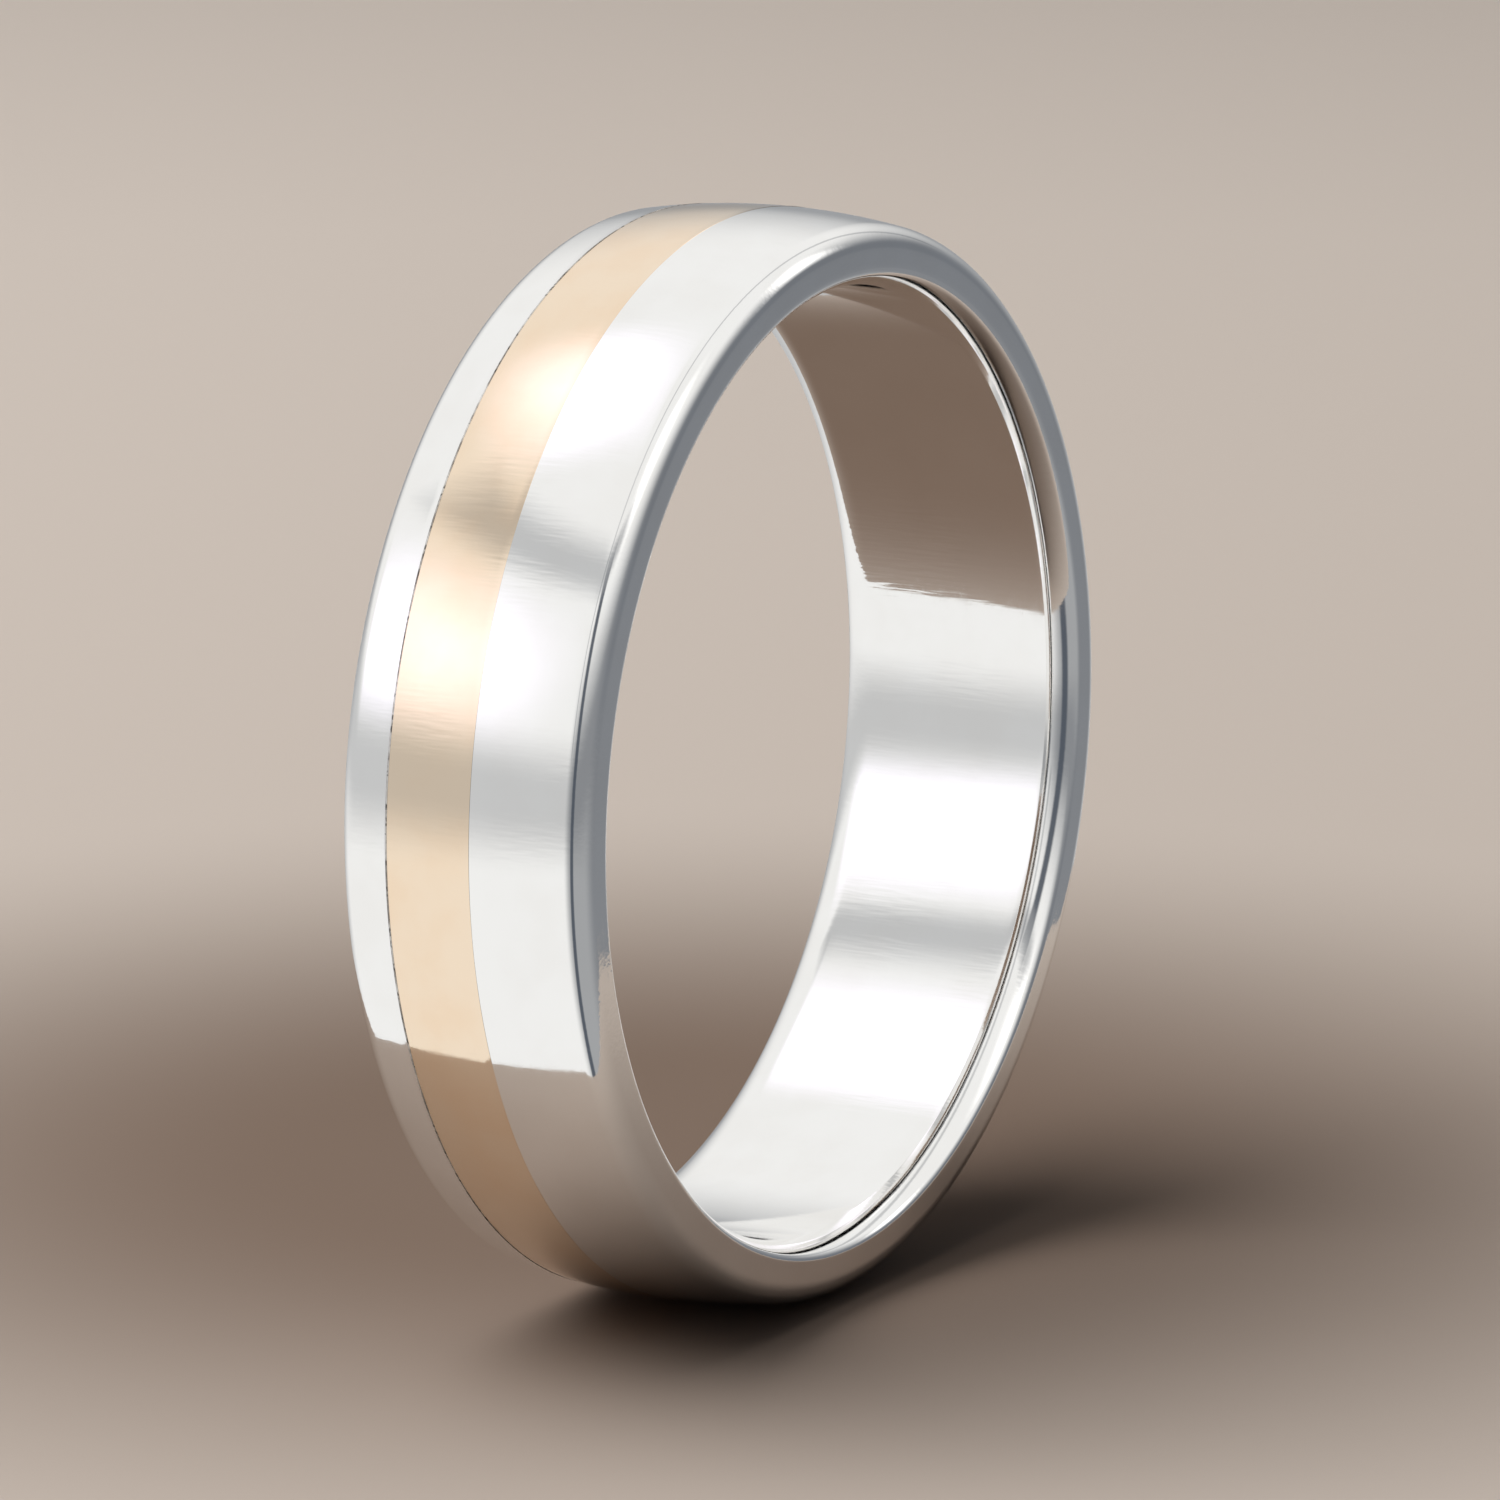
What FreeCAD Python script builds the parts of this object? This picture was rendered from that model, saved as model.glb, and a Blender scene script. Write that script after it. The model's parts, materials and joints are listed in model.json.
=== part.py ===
import FreeCAD, Part

import math
import os

import Sketcher

# Wedding band: a polished silver ring with a yellow gold ring let in flush, off the middle of its width.
#
# Frame, in millimetres: the ring stands on its edge with its axis along Y.
# The origin is the middle of the finger bore, +Z is up, and -Y is the side with the wide silver rail.
#
# Every piece is a ring. Each is one closed outline on the XY plane, where X is the radius and Y the
# station along the axis, and the outline is revolved a full turn about Y:
#
#   silver_band       the sleeve that lines the whole bore, in one piece with the wide rail
#   gold_inlay_ring   slides on the sleeve up to the wide rail's shoulder
#   silver_edge_ring  closes the seat behind the gold ring and makes the narrow rail
#   inlay_solder      the film between the sleeve and the gold ring
#   edge_ring_solder  the film round the edge ring; its rim is the hairline beside the gold
#
# The pieces meet face to face. The outside of all of them follows one low dome, an arc across the width,
# and the bore opens out towards each face in a soft curve, the ease, so that the ring slides on easily.

# Driving dimensions.
SIZES = {
    "bore_radius": 10.5,
    "band_width": 6.0,
    "wall_thickness": 1.6,
    "dome_rise": 0.3,
    "shoulder_radius": 0.55,
    "ease_depth": 0.32,
    "ease_width": 0.8,
    "ease_rim_radius": 0.25,
    "wide_rail": 2.6,
    "gold_width": 2.05,
    "sleeve_thickness": 0.6,
    "solder_film": 0.04,
}

# Sizes worked out from the driving ones. Stations run from the front face, on the -Y side, to the back.
DERIVED = {
    "front_face": "=-band_width / 2",
    "back_face": "=band_width / 2",
    "gold_front": "=front_face + wide_rail",
    "gold_back": "=gold_front + gold_width",
    "edge_front": "=gold_back + solder_film",
    "crown_radius": "=bore_radius + wall_thickness",
    "rim_radius": "=crown_radius - dome_rise",
    "dome_radius": "=(band_width ^ 2 / 4 + dome_rise ^ 2) / (2 * dome_rise)",
    "dome_centre": "=crown_radius - dome_radius",
    "ease_front": "=front_face + ease_width",
    "ease_back": "=back_face - ease_width",
    "mouth_radius": "=bore_radius + ease_depth",
    "ease_centre": "=bore_radius + (ease_width ^ 2 + ease_depth ^ 2) / (2 * ease_depth)",
    "seat_radius": "=bore_radius + sleeve_thickness",
    "ring_bore_radius": "=seat_radius + solder_film",
    "mid_plane": "=0",
}

# The edge that leaves a corner is a line or an arc. An arc is named by its centre's cells.
LINE = None
DOME = ("dome_centre", "mid_plane")
FRONT_EASE = ("ease_centre", "ease_front")
BACK_EASE = ("ease_centre", "ease_back")

# A corner's radius is a cell, or ON_DOME where the dome sets it from the corner's station.
ON_DOME = "on the dome"

ORIGIN_POINT = (-1, 1)
START, END, CENTRE = 1, 2, 3

doc = FreeCAD.newDocument("WeddingBand")
sheet = doc.addObject("Spreadsheet::Sheet", "Sizes")
for row, (alias, content) in enumerate({**SIZES, **DERIVED}.items(), start=1):
    sheet.set(f"A{row}", alias)
    sheet.set(f"B{row}", str(content))
    sheet.setAlias(f"B{row}", alias)
doc.recompute()


def size(alias):
    """The value of one cell of the sheet, in millimetres."""
    return float(getattr(sheet, alias))


def sketch_point(radius, station):
    """Where a corner or a centre lies on the sketch."""
    y = size(station)
    if radius == ON_DOME:
        x = size("dome_centre") + math.sqrt(size("dome_radius") ** 2 - y ** 2)
    else:
        x = size(radius)
    return FreeCAD.Vector(x, y, 0)


def arc_between(centre, start, end):
    """The arc about a centre that runs anticlockwise from one point to another."""
    circle = Part.Circle(centre, FreeCAD.Vector(0, 0, 1), start.distanceToPoint(centre))
    return Part.ArcOfCircle(circle, circle.parameter(start), circle.parameter(end))


def dimension(sketch, kind, geometry, point, alias):
    """Set a point's distance from the origin along one axis, bound to a cell of the sheet."""
    constraint = Sketcher.Constraint(kind, *ORIGIN_POINT, geometry, point, size(alias))
    index = sketch.addConstraint(constraint)
    sketch.setExpression(f"Constraints[{index}]", f"Sizes.{alias}")


def draw_outline(sketch, corners):
    """Draw a closed outline through (radius, station, edge) corners, listed anticlockwise."""
    points = [sketch_point(radius, station) for radius, station, edge in corners]
    count = len(corners)
    for number, (radius, station, edge) in enumerate(corners):
        start = points[number]
        end = points[(number + 1) % count]
        if edge == LINE:
            sketch.addGeometry(Part.LineSegment(start, end))
        else:
            sketch.addGeometry(arc_between(sketch_point(*edge), start, end))

    for number in range(count):
        following = (number + 1) % count
        sketch.addConstraint(Sketcher.Constraint("Coincident", number, END, following, START))

    for number, (radius, station, edge) in enumerate(corners):
        dimension(sketch, "DistanceY", number, START, station)
        if radius != ON_DOME:
            dimension(sketch, "DistanceX", number, START, radius)
        if edge != LINE:
            dimension(sketch, "DistanceY", number, CENTRE, edge[1])
        if edge == DOME:
            dimension(sketch, "DistanceX", number, CENTRE, edge[0])
            index = sketch.addConstraint(Sketcher.Constraint("Radius", number, size("dome_radius")))
            sketch.setExpression(f"Constraints[{index}]", "Sizes.dome_radius")


def origin_plane(body, role):
    """One of a body's own origin planes, such as XY_Plane."""
    return next(feature for feature in body.Origin.OriginFeatures if feature.Role == role)


def turned_ring(name, corners):
    """A body whose outline is revolved a full turn about the ring's axis."""
    body = doc.addObject("PartDesign::Body", name)
    body.Label = name
    sketch = body.newObject("Sketcher::SketchObject", f"{name}_outline")
    sketch.AttachmentSupport = [(origin_plane(body, "XY_Plane"), "")]
    sketch.MapMode = "FlatFace"
    draw_outline(sketch, corners)
    turn = body.newObject("PartDesign::Revolution", f"{name}_turn")
    turn.Profile = sketch
    turn.ReferenceAxis = (sketch, ["V_Axis"])
    turn.Angle = 360
    doc.recompute()
    return body


def circle_edge(shape, radius, station):
    """The name of the circular edge of a shape at a radius and a station along the axis."""
    for number, edge in enumerate(shape.Edges, start=1):
        curve = edge.Curve
        if not isinstance(curve, Part.Circle):
            continue
        if abs(curve.Radius - size(radius)) < 1e-6 and abs(curve.Center.y - size(station)) < 1e-6:
            return f"Edge{number}"
    raise ValueError(f"no circular edge at {radius}, {station}")


def round_edge(body, name, radius, stations, round_radius):
    """Round the circular edges at one radius and the given stations."""
    base = body.Tip
    edges = [circle_edge(base.Shape, radius, station) for station in stations]
    fillet = body.newObject("PartDesign::Fillet", f"{body.Name}_{name}")
    fillet.Base = (base, edges)
    fillet.setExpression("Radius", f"Sizes.{round_radius}")
    doc.recompute()


def silver_band():
    """The sleeve through the whole bore with the wide rail at the front."""
    band = turned_ring(
        "silver_band",
        [
            ("mouth_radius", "front_face", LINE),
            (ON_DOME, "front_face", DOME),
            (ON_DOME, "gold_front", LINE),
            ("seat_radius", "gold_front", LINE),
            ("seat_radius", "back_face", LINE),
            ("mouth_radius", "back_face", BACK_EASE),
            ("bore_radius", "ease_back", LINE),
            ("bore_radius", "ease_front", FRONT_EASE),
        ],
    )
    round_edge(band, "shoulder", "rim_radius", ["front_face"], "shoulder_radius")
    round_edge(band, "ease_rims", "mouth_radius", ["front_face", "back_face"], "ease_rim_radius")


def gold_inlay_ring():
    """The closed gold ring, against the wide rail's shoulder."""
    turned_ring(
        "gold_inlay_ring",
        [
            ("ring_bore_radius", "gold_front", LINE),
            (ON_DOME, "gold_front", DOME),
            (ON_DOME, "gold_back", LINE),
            ("ring_bore_radius", "gold_back", LINE),
        ],
    )


def silver_edge_ring():
    """The ring that makes the narrow rail, level with the sleeve's end at the back."""
    ring = turned_ring(
        "silver_edge_ring",
        [
            ("ring_bore_radius", "edge_front", LINE),
            (ON_DOME, "edge_front", DOME),
            (ON_DOME, "back_face", LINE),
            ("ring_bore_radius", "back_face", LINE),
        ],
    )
    round_edge(ring, "shoulder", "rim_radius", ["back_face"], "shoulder_radius")


def inlay_solder():
    """The film that holds the gold ring on the sleeve."""
    turned_ring(
        "inlay_solder",
        [
            ("seat_radius", "gold_front", LINE),
            ("ring_bore_radius", "gold_front", LINE),
            ("ring_bore_radius", "gold_back", LINE),
            ("seat_radius", "gold_back", LINE),
        ],
    )


def edge_ring_solder():
    """The film beside the gold ring and, in one piece with it, under the edge ring."""
    turned_ring(
        "edge_ring_solder",
        [
            ("seat_radius", "gold_back", LINE),
            (ON_DOME, "gold_back", DOME),
            (ON_DOME, "edge_front", LINE),
            ("ring_bore_radius", "edge_front", LINE),
            ("ring_bore_radius", "back_face", LINE),
            ("seat_radius", "back_face", LINE),
        ],
    )


def check(objects, bodies):
    """Stop before anything is written if an object failed or a body isn't one valid solid."""
    for item in objects:
        if "Invalid" in item.State or "Error" in item.State:
            raise RuntimeError(f"{item.Name} is {item.State}")
    for body in bodies:
        shape = body.Shape
        if shape.isNull() or not shape.isValid() or len(shape.Solids) != 1:
            raise RuntimeError(f"{body.Label} isn't one valid solid")


silver_band()
gold_inlay_ring()
silver_edge_ring()
inlay_solder()
edge_ring_solder()
doc.recompute()

bodies = [item for item in doc.Objects if item.TypeId == "PartDesign::Body"]
check(doc.Objects, bodies)

os.makedirs("parts", exist_ok=True)
for body in bodies:
    body.Shape.exportStep(f"parts/{body.Label}.step")
    print(f"{body.Label}: {body.Shape.Volume:.3f} mm3")
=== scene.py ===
import json
import math

import bpy
import numpy as np
from mathutils import Matrix, Vector

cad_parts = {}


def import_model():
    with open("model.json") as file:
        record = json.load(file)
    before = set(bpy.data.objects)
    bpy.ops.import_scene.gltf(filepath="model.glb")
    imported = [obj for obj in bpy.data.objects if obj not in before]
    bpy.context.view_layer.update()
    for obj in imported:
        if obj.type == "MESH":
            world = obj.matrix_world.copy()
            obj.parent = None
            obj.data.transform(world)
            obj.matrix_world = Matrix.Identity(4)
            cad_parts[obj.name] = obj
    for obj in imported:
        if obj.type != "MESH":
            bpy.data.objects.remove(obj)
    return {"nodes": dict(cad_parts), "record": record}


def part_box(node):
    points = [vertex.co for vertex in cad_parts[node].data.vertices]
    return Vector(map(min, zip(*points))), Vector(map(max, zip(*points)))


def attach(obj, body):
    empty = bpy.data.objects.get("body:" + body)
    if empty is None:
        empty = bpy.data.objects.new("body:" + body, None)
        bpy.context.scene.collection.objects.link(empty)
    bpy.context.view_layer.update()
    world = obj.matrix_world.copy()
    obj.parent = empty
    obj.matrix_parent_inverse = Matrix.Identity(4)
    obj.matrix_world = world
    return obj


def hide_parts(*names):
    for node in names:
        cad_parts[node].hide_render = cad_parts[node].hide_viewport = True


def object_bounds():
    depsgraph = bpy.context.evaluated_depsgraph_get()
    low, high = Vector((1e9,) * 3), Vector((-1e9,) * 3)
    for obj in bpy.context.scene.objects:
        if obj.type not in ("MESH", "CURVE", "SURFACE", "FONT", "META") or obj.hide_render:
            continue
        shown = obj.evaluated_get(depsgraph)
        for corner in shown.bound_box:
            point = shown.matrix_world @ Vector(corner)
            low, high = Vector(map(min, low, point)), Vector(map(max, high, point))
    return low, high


# A polished silver wedding band with a yellow gold ring let in flush, standing on its edge.
# Everything is in metres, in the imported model's frame: the ring's axis is Y and +Z is up.

MM = 0.001

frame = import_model()
cad_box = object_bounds()

# ---------------------------------------------------------------- sizes from the frame, in millimetres


def in_mm(box):
    """A box's corners in millimetres."""
    return [Vector(corner) / MM for corner in box]


def mount(name):
    """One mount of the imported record."""
    return next(item for item in frame["record"]["mounts"] if item["name"] == name)


LOW, HIGH = in_mm(cad_box)
GOLD_LOW, GOLD_HIGH = in_mm(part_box("gold_inlay_ring"))
EDGE_FRONT = in_mm(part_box("silver_edge_ring"))[0].y

CROWN = HIGH.z
HALF_WIDTH = HIGH.y
BORE = mount("finger_bore")["dims"]["r_mm"]
GOLD_FRONT = GOLD_LOW.y
GOLD_BACK = GOLD_HIGH.y

# The frame doesn't give these seven, so they repeat part.py's.
DOME_RISE = 0.3
SHOULDER = 0.55
EASE_DEPTH = 0.32
EASE_WIDTH = 0.8
EASE_RIM = 0.25
SLEEVE = 0.6
SOLDER_FILM = 0.04

SEAT = BORE + SLEEVE
RING_BORE = SEAT + SOLDER_FILM
DOME = (HALF_WIDTH**2 + DOME_RISE**2) / (2 * DOME_RISE)
DOME_CENTRE = CROWN - DOME
EASE = (EASE_WIDTH**2 + EASE_DEPTH**2) / (2 * EASE_DEPTH)
EASE_CENTRE = BORE + EASE

# ---------------------------------------------------------------- mesh code

SEGMENTS = 540
WAVE_DEPTH = 0.009
SHARP_BEND = 0.8
SAME_POINT = 1e-6

# Distances between neighbouring outline points, in millimetres.
DOME_STEP = 0.09
SHOULDER_STEP = 0.03
EASE_STEP = 0.05
RIM_STEP = 0.025
BORE_STEP = 0.15
FACE_STEP = 0.1
NARROW_FACE_STEP = 0.08
HIDDEN_WALL_STEP = 0.5
HIDDEN_SEAT_STEP = 1.2
HAIRLINE_STEP = 0.02
FILM_END_STEP = 0.05


def dome_radius(station):
    """Radius of the outside at a station along the axis."""
    return DOME_CENTRE + math.sqrt(DOME**2 - station**2)


def arc(centre, radius, start, end, step):
    """Points of a convex arc in the outline plane, each with its normal and marked as shown."""
    first = math.atan2(start[1] - centre[1], start[0] - centre[0])
    last = math.atan2(end[1] - centre[1], end[0] - centre[0])
    turn = (last - first + math.pi) % (2 * math.pi) - math.pi
    count = max(2, round(abs(turn) * radius / step))
    angles = [first + turn * i / count for i in range(count + 1)]
    points = []
    for angle in angles:
        cos, sin = math.cos(angle), math.sin(angle)
        points.append((centre[0] + radius * cos, centre[1] + radius * sin, cos, sin, 1.0))
    return points


def line(start, end, step, normal, shown=1.0):
    """Points of a straight run, each with the run's normal. shown is 0 where the run can't be seen."""
    count = max(1, round(math.dist(start, end) / step))
    points = []
    for i in range(count + 1):
        radius = start[0] + (end[0] - start[0]) * i / count
        station = start[1] + (end[1] - start[1]) * i / count
        points.append((radius, station, *normal, shown))
    return points


def on_dome_at(station):
    """The outside's point at a station."""
    return (dome_radius(station), station)


def dome_run(first, last, step=DOME_STEP):
    """The outside between two stations."""
    return arc((DOME_CENTRE, 0), DOME, on_dome_at(first), on_dome_at(last), step)


def shoulder_points(side):
    """Centre and ends of the shoulder round: on the face, on the dome. side is -1 or 1."""
    station = side * (HALF_WIDTH - SHOULDER)
    centre = (DOME_CENTRE + math.sqrt((DOME - SHOULDER) ** 2 - station**2), station)
    scale = DOME / (DOME - SHOULDER)
    on_dome = (DOME_CENTRE + (centre[0] - DOME_CENTRE) * scale, station * scale)
    on_face = (centre[0], side * HALF_WIDTH)
    return centre, on_face, on_dome


def ease_points(side):
    """The eased bore edge: the rim round's centre and ends, and the ease arc's centre and bore end."""
    ease_centre = (EASE_CENTRE, side * (HALF_WIDTH - EASE_WIDTH))
    reach = EASE - EASE_RIM
    drop = EASE_WIDTH - EASE_RIM
    rim_centre = (EASE_CENTRE - math.sqrt(reach**2 - drop**2), side * (HALF_WIDTH - EASE_RIM))
    scale = EASE / reach
    on_ease = tuple(c + (p - c) * scale for c, p in zip(ease_centre, rim_centre))
    on_face = (rim_centre[0], side * HALF_WIDTH)
    on_bore = (BORE, ease_centre[1])
    return rim_centre, on_face, on_ease, ease_centre, on_bore


def without_repeats(points):
    """The outline with points that fall on the one before taken out."""
    kept = []
    for point in points:
        if not kept or math.dist(point[:2], kept[-1][:2]) > SAME_POINT:
            kept.append(point)
    if math.dist(kept[0][:2], kept[-1][:2]) < SAME_POINT:
        kept.pop()
    return kept


# The hand-polished wave is a sum of sine waves: direction in radians per millimetre, phase, weight.
WAVES = [
    ((0.93, 0.21, 0.41), 0.7, 0.30),
    ((-0.38, 0.62, 1.02), 2.1, 0.24),
    ((1.31, -0.55, -0.27), 4.0, 0.18),
    ((0.22, 1.12, -1.48), 5.3, 0.12),
    ((-1.70, 0.33, 0.88), 1.2, 0.10),
    ((0.61, -0.92, 1.97), 3.4, 0.06),
]


def hand_polish(points):
    """How far hand polishing has dipped the surface at points in millimetres, from 0 to 1."""
    total = np.zeros(len(points))
    for direction, phase, weight in WAVES:
        total += weight * np.sin(points @ np.array(direction) + phase)
    return 0.5 + 0.5 * total


def sharp_corners(radius, station):
    """The numbers of the outline's points where it turns too sharply to be shaded smooth."""
    count = len(radius)
    corners = set()
    for i in range(count):
        following = (i + 1) % count
        before = np.array([radius[i] - radius[i - 1], station[i] - station[i - 1]])
        after = np.array([radius[following] - radius[i], station[following] - station[i]])
        bend = np.dot(before, after) / np.linalg.norm(before) / np.linalg.norm(after)
        if bend < SHARP_BEND:
            corners.add(i)
    return corners


def turned(name, outline):
    """A ring whose closed outline is turned about Y, with a slight hand-polished wave on what shows."""
    profile = np.array(without_repeats(outline))
    around = np.arange(SEGMENTS) * 2 * math.pi / SEGMENTS
    cos, sin = np.cos(around), np.sin(around)
    radius, station, normal_r, normal_y, shown = profile.T

    place = np.empty((SEGMENTS, len(profile), 3))
    place[:, :, 0] = np.outer(cos, radius)
    place[:, :, 1] = station[None, :]
    place[:, :, 2] = np.outer(sin, radius)
    normal = np.empty_like(place)
    normal[:, :, 0] = np.outer(cos, normal_r)
    normal[:, :, 1] = normal_y[None, :]
    normal[:, :, 2] = np.outer(sin, normal_r)

    flat = place.reshape(-1, 3)
    dip = WAVE_DEPTH * hand_polish(flat) * np.tile(shown, SEGMENTS)
    vertices = (flat - normal.reshape(-1, 3) * dip[:, None]) * MM

    count = len(profile)
    column = np.arange(count)
    following = (column + 1) % count
    faces = []
    for segment in range(SEGMENTS):
        here, there = segment * count, ((segment + 1) % SEGMENTS) * count
        corners = [here + column, there + column, there + following, here + following]
        faces.append(np.stack(corners, axis=1))
    faces = np.concatenate(faces)

    mesh = bpy.data.meshes.new(name)
    mesh.from_pydata(vertices.tolist(), [], faces.tolist())
    mesh.shade_smooth()
    sharp = sharp_corners(radius, station)
    for edge in mesh.edges:
        a, b = edge.vertices
        if a % count == b % count and a % count in sharp:
            edge.use_edge_sharp = True
    mesh.update()
    piece = bpy.data.objects.new(name, mesh)
    bpy.context.scene.collection.objects.link(piece)
    return piece


def silver_band_outline():
    """The sleeve through the whole bore with the wide rail at the front."""
    front_rim, front_face, front_ease_end, front_ease, front_bore = ease_points(-1)
    back_rim, back_face, back_ease_end, back_ease, back_bore = ease_points(1)
    shoulder, on_face, on_dome = shoulder_points(-1)
    outline = line(front_face, on_face, FACE_STEP, (0, -1))
    outline += arc(shoulder, SHOULDER, on_face, on_dome, SHOULDER_STEP)
    outline += dome_run(on_dome[1], GOLD_FRONT)
    outline += line(on_dome_at(GOLD_FRONT), (SEAT, GOLD_FRONT), HIDDEN_WALL_STEP, (0, 1), 0)
    outline += line((SEAT, GOLD_FRONT), (SEAT, HALF_WIDTH), HIDDEN_SEAT_STEP, (1, 0), 0)
    outline += line((SEAT, HALF_WIDTH), back_face, NARROW_FACE_STEP, (0, 1))
    outline += arc(back_rim, EASE_RIM, back_face, back_ease_end, RIM_STEP)
    outline += arc(back_ease, EASE, back_ease_end, back_bore, EASE_STEP)
    outline += line(back_bore, front_bore, BORE_STEP, (-1, 0))
    outline += arc(front_ease, EASE, front_bore, front_ease_end, EASE_STEP)
    outline += arc(front_rim, EASE_RIM, front_ease_end, front_face, RIM_STEP)
    return outline


def gold_outline():
    """The closed gold ring between the wide rail and the solder."""
    outline = line((RING_BORE, GOLD_FRONT), on_dome_at(GOLD_FRONT), HIDDEN_WALL_STEP, (0, -1), 0)
    outline += dome_run(GOLD_FRONT, GOLD_BACK)
    outline += line(on_dome_at(GOLD_BACK), (RING_BORE, GOLD_BACK), HIDDEN_WALL_STEP, (0, 1), 0)
    return outline


def edge_ring_outline():
    """The silver ring that makes the narrow rail."""
    shoulder, on_face, on_dome = shoulder_points(1)
    outline = line((RING_BORE, EDGE_FRONT), on_dome_at(EDGE_FRONT), HIDDEN_WALL_STEP, (0, -1), 0)
    outline += dome_run(EDGE_FRONT, on_dome[1])
    outline += arc(shoulder, SHOULDER, on_dome, on_face, SHOULDER_STEP)
    outline += line(on_face, (RING_BORE, HALF_WIDTH), NARROW_FACE_STEP, (0, 1))
    return outline


def solder_outline():
    """The film beside the gold and under the edge ring. Its rim on the outside is the hairline."""
    outline = line((SEAT, GOLD_BACK), on_dome_at(GOLD_BACK), HIDDEN_WALL_STEP, (0, -1), 0)
    outline += dome_run(GOLD_BACK, EDGE_FRONT, HAIRLINE_STEP)
    outline += line(on_dome_at(EDGE_FRONT), (RING_BORE, EDGE_FRONT), HIDDEN_WALL_STEP, (0, 1), 0)
    outline += line((RING_BORE, EDGE_FRONT), (RING_BORE, HALF_WIDTH), HIDDEN_SEAT_STEP, (1, 0), 0)
    outline += line((RING_BORE, HALF_WIDTH), (SEAT, HALF_WIDTH), FILM_END_STEP, (0, 1))
    return outline


# ---------------------------------------------------------------- materials


class Nodes:
    """A short way to add nodes to a tree and join them."""

    def __init__(self, tree):
        self.tree = tree

    def add(self, kind, **settings):
        node = self.tree.nodes.new(kind)
        for key, value in settings.items():
            setattr(node, key, value)
        return node

    def set(self, socket, value):
        """Join a socket to another, or give it a value."""
        if isinstance(value, bpy.types.NodeSocket):
            self.tree.links.new(value, socket)
        else:
            socket.default_value = value

    def math(self, operation, a, b=0.0):
        node = self.add("ShaderNodeMath", operation=operation)
        self.set(node.inputs[0], a)
        self.set(node.inputs[1], b)
        return node.outputs[0]

    def scaled(self, vector, scale):
        node = self.add("ShaderNodeVectorMath", operation="MULTIPLY")
        self.set(node.inputs[0], vector)
        node.inputs[1].default_value = scale
        return node.outputs[0]

    def noise(self, vector, scale, detail=2.0, roughness=0.5):
        node = self.add("ShaderNodeTexNoise")
        self.set(node.inputs["Vector"], vector)
        node.inputs["Scale"].default_value = scale
        node.inputs["Detail"].default_value = detail
        node.inputs["Roughness"].default_value = roughness
        return node.outputs["Fac"]

    def away_from(self, value, centre):
        """How far a value is from a centre, either way."""
        return self.math("ABSOLUTE", self.math("SUBTRACT", value, centre))

    def remap(self, value, low, high, to_low, to_high, smooth=False):
        """A value's range carried over to another range, and clamped to it."""
        kind = "SMOOTHSTEP" if smooth else "LINEAR"
        node = self.add("ShaderNodeMapRange", interpolation_type=kind)
        node.clamp = True
        self.set(node.inputs["Value"], value)
        node.inputs["From Min"].default_value = low
        node.inputs["From Max"].default_value = high
        node.inputs["To Min"].default_value = to_low
        node.inputs["To Max"].default_value = to_high
        return node.outputs["Result"]

    def mix(self, factor, a, b):
        node = self.add("ShaderNodeMix", data_type="RGBA")
        self.set(node.inputs[0], factor)
        self.set(node.inputs[6], a)
        self.set(node.inputs[7], b)
        return node.outputs[2]

    def bump(self, height, distance, normal=None):
        node = self.add("ShaderNodeBump")
        node.inputs["Strength"].default_value = 1.0
        node.inputs["Distance"].default_value = distance
        self.set(node.inputs["Height"], height)
        if normal is not None:
            self.set(node.inputs["Normal"], normal)
        return node.outputs["Normal"]


def new_material(name):
    """A material with an empty tree, its node helper, its shader and its coordinates in millimetres."""
    material = bpy.data.materials.new(name)
    material.use_nodes = True
    tree = material.node_tree
    tree.nodes.clear()
    nodes = Nodes(tree)
    output = nodes.add("ShaderNodeOutputMaterial")
    shader = nodes.add("ShaderNodeBsdfPrincipled")
    tree.links.new(shader.outputs[0], output.inputs[0])
    coordinates = nodes.add("ShaderNodeTexCoord")
    in_millimetres = nodes.scaled(coordinates.outputs["Object"], (1000, 1000, 1000))
    return material, nodes, shader, in_millimetres


SILVER_BRIGHT, SILVER_DEEP = (0.955, 0.95, 0.94, 1), (0.93, 0.92, 0.905, 1)
GOLD_BRIGHT, GOLD_DEEP = (0.955, 0.79, 0.615, 1), (0.94, 0.745, 0.555, 1)
# The dull solder colour is partly the solder's own duller tone and partly painted shade of a hairline
# groove that the mesh doesn't have.
SOLDER_BRIGHT, SOLDER_DULL_AND_SHADE = (0.74, 0.71, 0.67, 1), (0.34, 0.31, 0.28, 1)
# The pit colour is painted shade in the solder's pits.
SOLDER_PIT_SHADE = (0.05, 0.045, 0.04, 1)

# Depths are in metres.
HAZE_DEPTH = 0.5e-6
RIPPLE_DEPTH = 1.5e-6
POLISH_LINE_DEPTH = 0.09e-6
PIT_DEPTH = 4e-6
HAZE_ROUGHNESS = 0.045
SCRATCH_WIDTH = 0.012


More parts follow.
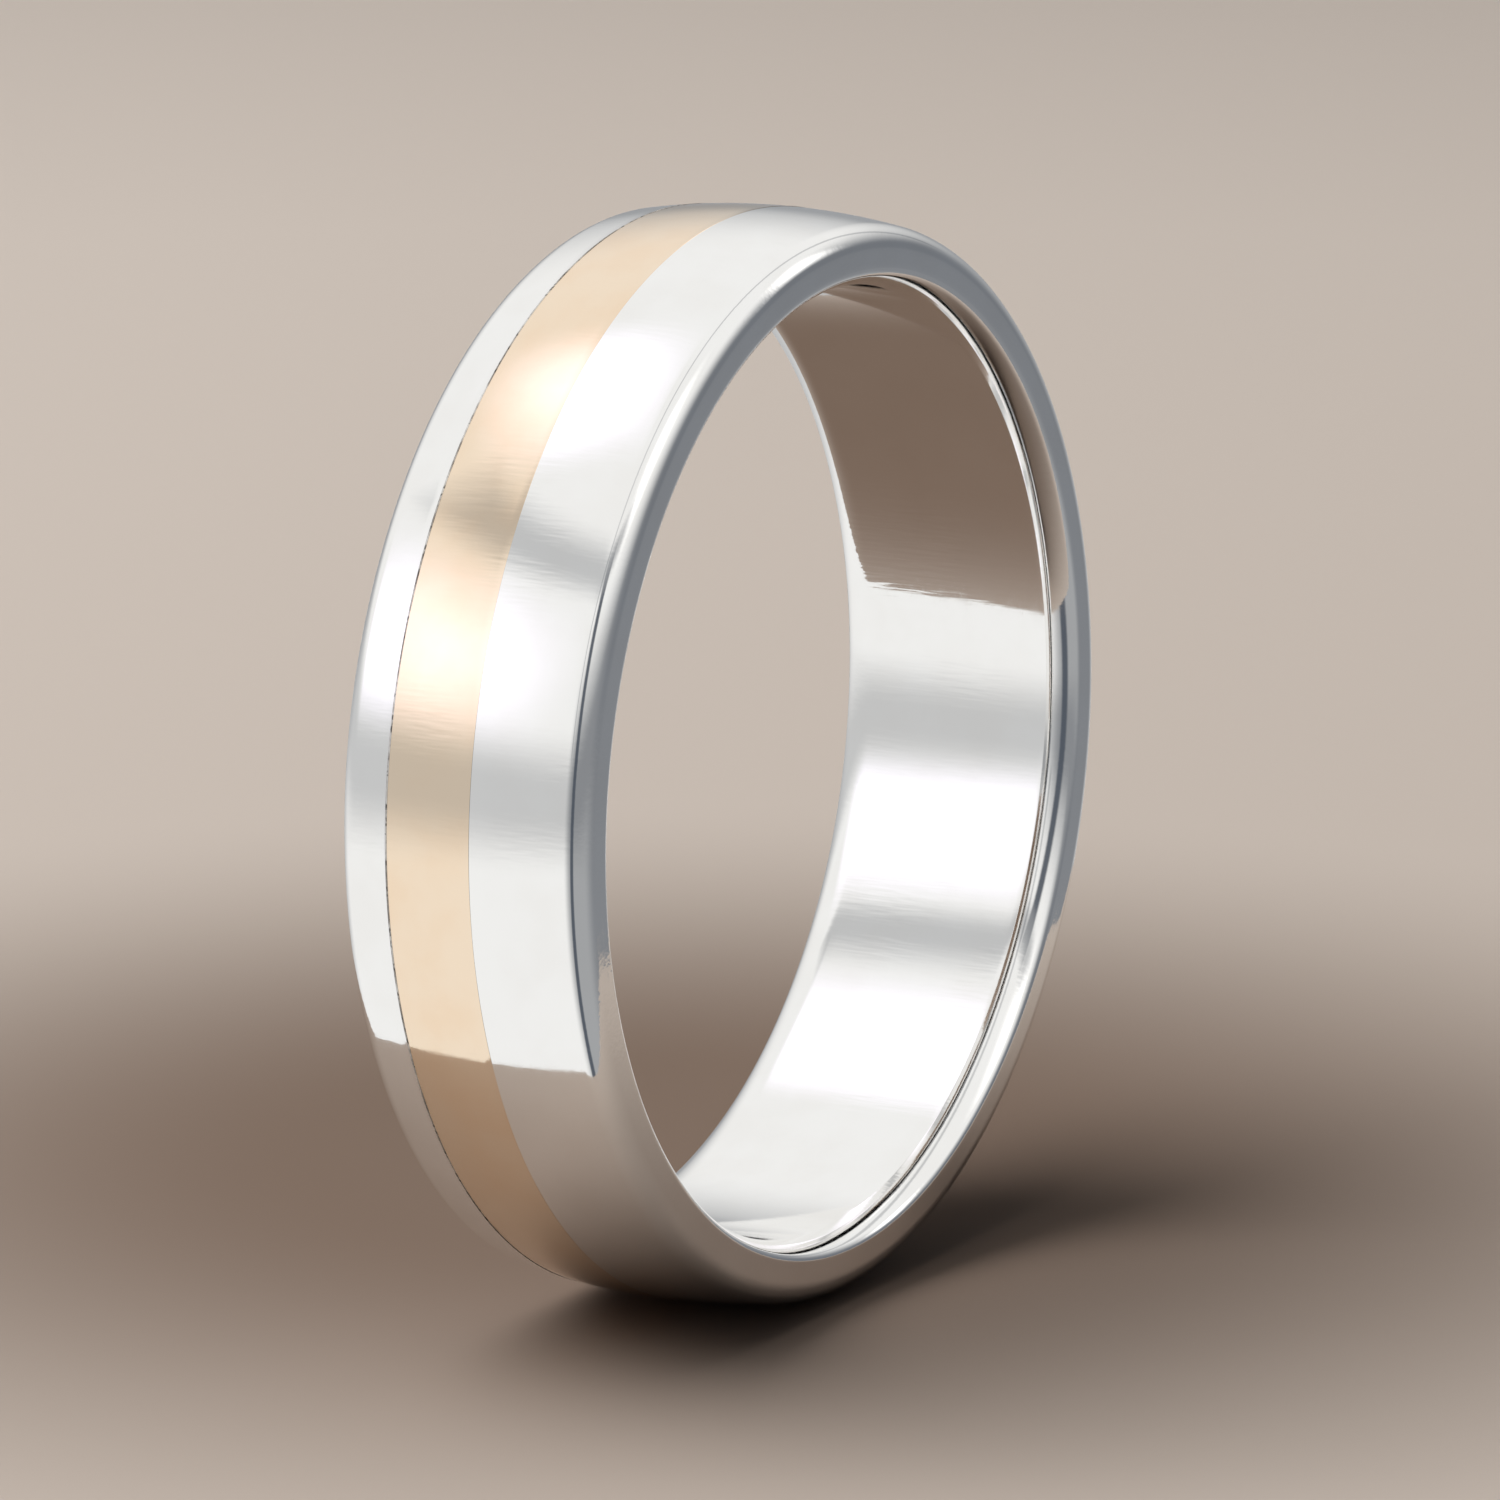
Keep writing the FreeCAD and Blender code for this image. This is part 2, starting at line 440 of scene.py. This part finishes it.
def polished_metal(name, colour, deep_colour, roughness, scuffed):
    """Hand-polished metal: fine marks across the band, hairline scratches and faint haze."""
    material, nodes, shader, place = new_material(name)
    across = nodes.scaled(place, (9.0, 0.9, 9.0))
    along = nodes.scaled(place, (0.7, 14.0, 0.7))
    skew = nodes.scaled(place, (5.0, 6.5, 1.1))

    cloud = nodes.noise(place, 0.55, 3.0)
    haze = nodes.noise(place, 2.2, 4.0, 0.6)
    ripple = nodes.noise(across, 1.0, 1.0)
    patches = nodes.noise(place, 0.35, 1.0)
    ripple_where = nodes.remap(patches, 0.45, 0.62, 0.25, 1.0, True)
    polish_lines = nodes.noise(along, 1.0, 3.0, 0.6)
    scratch_field = nodes.noise(skew, 1.4, 2.0, 0.6)
    scratch = nodes.remap(nodes.away_from(scratch_field, 0.5), 0.0, SCRATCH_WIDTH, 1.0, 0.0)

    clouded = nodes.remap(cloud, 0.35, 0.7, 0.0, 1.0, True)
    nodes.set(shader.inputs["Base Color"], nodes.mix(clouded, colour, deep_colour))
    rough = nodes.remap(haze, 0.3, 0.75, roughness, roughness + HAZE_ROUGHNESS)
    rough = nodes.math("ADD", rough, nodes.math("MULTIPLY", scratch, scuffed))
    nodes.set(shader.inputs["Roughness"], rough)
    shader.inputs["Metallic"].default_value = 1.0

    normal = nodes.bump(haze, HAZE_DEPTH)
    normal = nodes.bump(nodes.math("MULTIPLY", ripple, ripple_where), RIPPLE_DEPTH, normal)
    normal = nodes.bump(polish_lines, POLISH_LINE_DEPTH, normal)
    nodes.set(shader.inputs["Normal"], normal)
    return material


def solder_metal(name):
    """Silver solder in a hairline: dull and greyer than the rails, partly its own tone and partly
    painted shade of a hairline groove, and darker with painted shade where it has shrunk into pits.
    """
    material, nodes, shader, place = new_material(name)
    run = nodes.noise(place, 1.1, 4.0, 0.65)
    pits = nodes.noise(place, 7.0, 2.0)
    # In places along the run: partly the solder's duller tone, partly painted shade of a hairline
    # groove.
    dull_and_groove_shade = nodes.remap(run, 0.42, 0.6, 0.0, 1.0, True)
    base = nodes.mix(dull_and_groove_shade, SOLDER_BRIGHT, SOLDER_DULL_AND_SHADE)
    # Painted shade: near-black in the pits.
    pit_shade = nodes.remap(pits, 0.55, 0.65, 0.0, 0.8)
    nodes.set(shader.inputs["Base Color"], nodes.mix(pit_shade, base, SOLDER_PIT_SHADE))
    nodes.set(shader.inputs["Roughness"], nodes.remap(run, 0.4, 0.6, 0.3, 0.5))
    shader.inputs["Metallic"].default_value = 1.0
    nodes.set(shader.inputs["Normal"], nodes.bump(pits, PIT_DEPTH))
    return material


SILVER = polished_metal("polished_silver", SILVER_BRIGHT, SILVER_DEEP, roughness=0.035, scuffed=0.06)
GOLD = polished_metal("yellow_gold", GOLD_BRIGHT, GOLD_DEEP, roughness=0.04, scuffed=0.06)
SOLDER = solder_metal("silver_solder")

# ---------------------------------------------------------------- the pieces


def finish_piece(name, outline, node, material):
    """Turn a piece, give it its material, and let it stand for its CAD node."""
    piece = turned(name, outline)
    piece.data.materials.append(material)
    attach(piece, "root")
    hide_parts(node)
    return piece


finish_piece("band_silver", silver_band_outline(), "silver_band", SILVER)
finish_piece("inlay_gold", gold_outline(), "gold_inlay_ring", GOLD)
finish_piece("edge_silver", edge_ring_outline(), "silver_edge_ring", SILVER)
finish_piece("hairline_solder", solder_outline(), "edge_ring_solder", SOLDER)

inlay_film = frame["nodes"]["inlay_solder"]
for material_slot in inlay_film.material_slots:
    material_slot.material = SOLDER

# ---------------------------------------------------------------- floor

# The ring mirrors only the near floor, a disc that is chosen so that the mirrored edge falls where the
# photo has it. The far floor carries the same material and is hidden from reflections.
NEAR_FLOOR_CENTRE = (0.012, 0.0)
NEAR_FLOOR_RADIUS = 0.028
FLOOR_RADIUS = 0.9
FLOOR_CORNERS = 192

# The painted shadow: a soft dark patch on the floor, centred behind and to the right of the ring's foot,
# in millimetres.
PAINTED_SHADOW_MIDDLE = (9, 7, 0)
PAINTED_SHADOW_COLOUR = (0.20, 0.143, 0.11, 1)
FLOOR_COLOUR = (0.69, 0.61, 0.55, 1)


def floor_material():
    """A plain pale floor with a painted shadow: a soft darker patch by the ring's foot that fades out to
    the pale colour. Distances are in millimetres.
    """
    material, nodes, shader, place = new_material("plain_floor")
    from_middle = nodes.add("ShaderNodeVectorMath", operation="SUBTRACT")
    nodes.set(from_middle.inputs[0], nodes.scaled(place, (1, 1, 0)))
    from_middle.inputs[1].default_value = PAINTED_SHADOW_MIDDLE
    length = nodes.add("ShaderNodeVectorMath", operation="LENGTH")
    nodes.set(length.inputs[0], from_middle.outputs[0])
    distance = length.outputs["Value"]
    # Painted shadow: dark at the patch's middle, fading out to the pale colour.
    near = nodes.remap(distance, 8, 40, 0.0, 0.8, True)
    pale = nodes.math("ADD", near, nodes.remap(distance, 20, 150, 0.0, 0.2))
    nodes.set(shader.inputs["Base Color"], nodes.mix(pale, PAINTED_SHADOW_COLOUR, FLOOR_COLOUR))
    shader.inputs["Roughness"].default_value = 0.9
    shader.inputs["Specular IOR Level"].default_value = 0.1
    return material


def circle_on_floor(centre, radius):
    """Points of a circle at the ring's lowest height."""
    points = []
    for i in range(FLOOR_CORNERS):
        angle = 2 * math.pi * i / FLOOR_CORNERS
        x, y = centre[0] + radius * math.cos(angle), centre[1] + radius * math.sin(angle)
        points.append((x, y, LOW.z * MM))
    return points


def floor_piece(name, points, faces, material):
    """One flat piece of the floor."""
    mesh = bpy.data.meshes.new(name)
    mesh.from_pydata(points, [], faces)
    mesh.materials.append(material)
    piece = bpy.data.objects.new(name, mesh)
    bpy.context.scene.collection.objects.link(piece)
    return piece


def floor():
    """The near floor and, round it, the far floor."""
    material = floor_material()
    inner = circle_on_floor(NEAR_FLOOR_CENTRE, NEAR_FLOOR_RADIUS)
    outer = circle_on_floor((0, 0), FLOOR_RADIUS)
    floor_piece("floor_near", inner, [list(range(FLOOR_CORNERS))], material)
    quads = []
    for i in range(FLOOR_CORNERS):
        j = (i + 1) % FLOOR_CORNERS
        quads.append((i, FLOOR_CORNERS + i, FLOOR_CORNERS + j, j))
    far = floor_piece("floor_far", inner + outer, quads, material)
    far.visible_glossy = False


floor()

# ---------------------------------------------------------------- camera

# The view that fits the ring's outlines in the photo.
AZIMUTH, ELEVATION = math.radians(-60.96), math.radians(11.87)
DISTANCE = 188.5 * MM
AIM_RIGHT, AIM_UP = 0.335 * MM, 0.07 * MM
LENS, SENSOR_WIDTH = 205.4, 36

level = math.cos(ELEVATION)
back = Vector((math.sin(AZIMUTH) * level, -math.cos(AZIMUTH) * level, math.sin(ELEVATION)))
right = Vector((math.cos(AZIMUTH), math.sin(AZIMUTH), 0))
up = back.cross(right)

camera_data = bpy.data.cameras.new("camera")
camera_data.sensor_width = SENSOR_WIDTH
camera_data.lens = LENS
camera_data.clip_start = 0.005
camera_data.clip_end = 10
camera = bpy.data.objects.new("camera", camera_data)
bpy.context.scene.collection.objects.link(camera)
place = back * DISTANCE + right * AIM_RIGHT + up * AIM_UP
camera.matrix_world = Matrix.Translation(place) @ Matrix((right, up, back)).transposed().to_4x4()
bpy.context.scene.camera = camera

# ---------------------------------------------------------------- light

STUDIO_DARK, STUDIO_PALE = (0.08, 0.095, 0.12, 1), (0.91, 0.91, 0.90, 1)
FLAG_NORMAL = (0.4855, 0.874)
# The tint keeps the gold's highlights from going lemon.
GOLD_SAFE = (1.0, 0.90, 1.22)
WARM_WHITE = (1.0, 0.99, 0.97)
WHITE = (1.0, 0.99, 0.98)


def softbox(name, direction, distance, width, height, radiance, colour, feather):
    """A soft light that faces the ring, dimmer towards its edges. Only glossy reflections see it."""
    light = bpy.data.lights.new(name, "AREA")
    light.shape = "RECTANGLE"
    light.size = width
    light.size_y = height
    light.energy = radiance * math.pi * width * height
    light.color = colour
    light.use_nodes = True
    tree = light.node_tree
    tree.nodes.clear()
    nodes = Nodes(tree)
    output = nodes.add("ShaderNodeOutputLight")
    emission = nodes.add("ShaderNodeEmission")
    tree.links.new(emission.outputs[0], output.inputs[0])
    split = nodes.add("ShaderNodeSeparateXYZ")
    nodes.set(split.inputs[0], nodes.add("ShaderNodeNewGeometry").outputs["Parametric"])
    strength = None
    for axis in (0, 1):
        from_edge = nodes.math("SUBTRACT", 0.5, nodes.away_from(split.outputs[axis], 0.5))
        rise = nodes.remap(from_edge, 0.0, feather, 0.0, 1.0, True)
        strength = rise if strength is None else nodes.math("MULTIPLY", strength, rise)
    nodes.set(emission.inputs["Strength"], strength)
    item = bpy.data.objects.new(name, light)
    bpy.context.scene.collection.objects.link(item)
    away = Vector(direction).normalized()
    item.location = away * distance
    item.rotation_euler = away.to_track_quat("Z", "Y").to_euler()
    item.visible_camera = False
    item.visible_diffuse = False
    return item


def world():
    """A pale studio, given by direction, with its darker bands. It doesn't light diffuse surfaces."""
    item = bpy.data.worlds.new("studio")
    bpy.context.scene.world = item
    item.use_nodes = True
    tree = item.node_tree
    tree.nodes.clear()
    nodes = Nodes(tree)
    output = nodes.add("ShaderNodeOutputWorld")
    background = nodes.add("ShaderNodeBackground")
    tree.links.new(background.outputs[0], output.inputs[0])
    split = nodes.add("ShaderNodeSeparateXYZ")
    nodes.set(split.inputs[0], nodes.add("ShaderNodeTexCoord").outputs["Generated"])
    across, along, height = split.outputs

    # The walls are dimmer on the +X and -Y sides and at the horizon, and even out overhead.
    wall = nodes.remap(across, -0.1, 0.8, 1.0, 0.52, True)
    front = nodes.remap(along, -0.40, 0.15, 0.35, 1.0, True)
    horizon = nodes.remap(nodes.math("ABSOLUTE", height), 0.04, 0.26, 0.60, 1.0, True)
    low = nodes.math("MULTIPLY", nodes.math("MULTIPLY", wall, front), horizon)
    overhead = nodes.remap(height, 0.10, 0.60, 0.0, 1.0, True)
    shade = nodes.math("ADD", low, nodes.math("MULTIPLY", overhead, nodes.math("SUBTRACT", 1.0, low)))

    # A narrow upright seam, from a little above the horizon upwards.
    from_seam = nodes.math("ABSOLUTE", nodes.math("ADD", along, 0.13))
    seam = nodes.remap(from_seam, 0.012, 0.05, 0.6, 1.0, True)
    seam = nodes.math("MAXIMUM", seam, nodes.remap(height, 0.12, 0.30, 1.0, 0.0))
    shade = nodes.math("MULTIPLY", shade, seam)

    # A level grey gap on the -X side, which fades out towards +X.
    from_gap = nodes.away_from(height, 0.71)
    gap = nodes.remap(from_gap, 0.01, 0.10, 0.56, 1.0, True)
    gap = nodes.math("MAXIMUM", gap, nodes.remap(across, -0.66, -0.24, 0.0, 1.0))
    shade = nodes.math("MULTIPLY", shade, gap)

    # A dark upright flag on the side the photo is taken from. It ends overhead.
    flag_side = nodes.math("MULTIPLY", across, FLAG_NORMAL[0])
    flag_side = nodes.math("SUBTRACT", flag_side, nodes.math("MULTIPLY", along, FLAG_NORMAL[1]))
    flag = nodes.remap(nodes.math("ABSOLUTE", flag_side), 0.06, 0.16, 0.05, 1.0, True)
    flag = nodes.math("MAXIMUM", flag, nodes.remap(across, -0.35, -0.25, 0.0, 1.0))
    flag = nodes.math("MAXIMUM", flag, nodes.remap(height, 0.60, 0.80, 0.0, 1.0))
    shade = nodes.math("MULTIPLY", shade, flag)

    nodes.set(background.inputs["Color"], nodes.mix(shade, STUDIO_DARK, STUDIO_PALE))
    background.inputs["Strength"].default_value = 1.0
    item.cycles_visibility.diffuse = False


world()
# Name, direction, distance, width and height in metres, radiance, colour, share that fades at each edge.
softbox("left", (-0.72, 0.60, 0.40), 0.17, 0.19, 0.11, 0.62, GOLD_SAFE, 0.5)
softbox("top", (-0.06, 0.42, 0.88), 0.30, 0.22, 0.17, 0.68, GOLD_SAFE, 0.5)
softbox("right", (0.75, -0.55, 0.42), 0.30, 0.09, 0.18, 1.2, WARM_WHITE, 0.5)
softbox("front", (-0.10, -0.60, 0.70), 0.30, 0.26, 0.18, 0.8, WHITE, 0.5)
# The overhead light is the opposite: it lights the floor and isn't mirrored.
overhead = softbox("overhead", (-0.40, 0.48, 1.0), 0.52, 0.75, 0.75, 4.7, WARM_WHITE, 0.3)
overhead.visible_diffuse = True
overhead.visible_glossy = False

scene = bpy.context.scene
scene.view_settings.view_transform = "Standard"
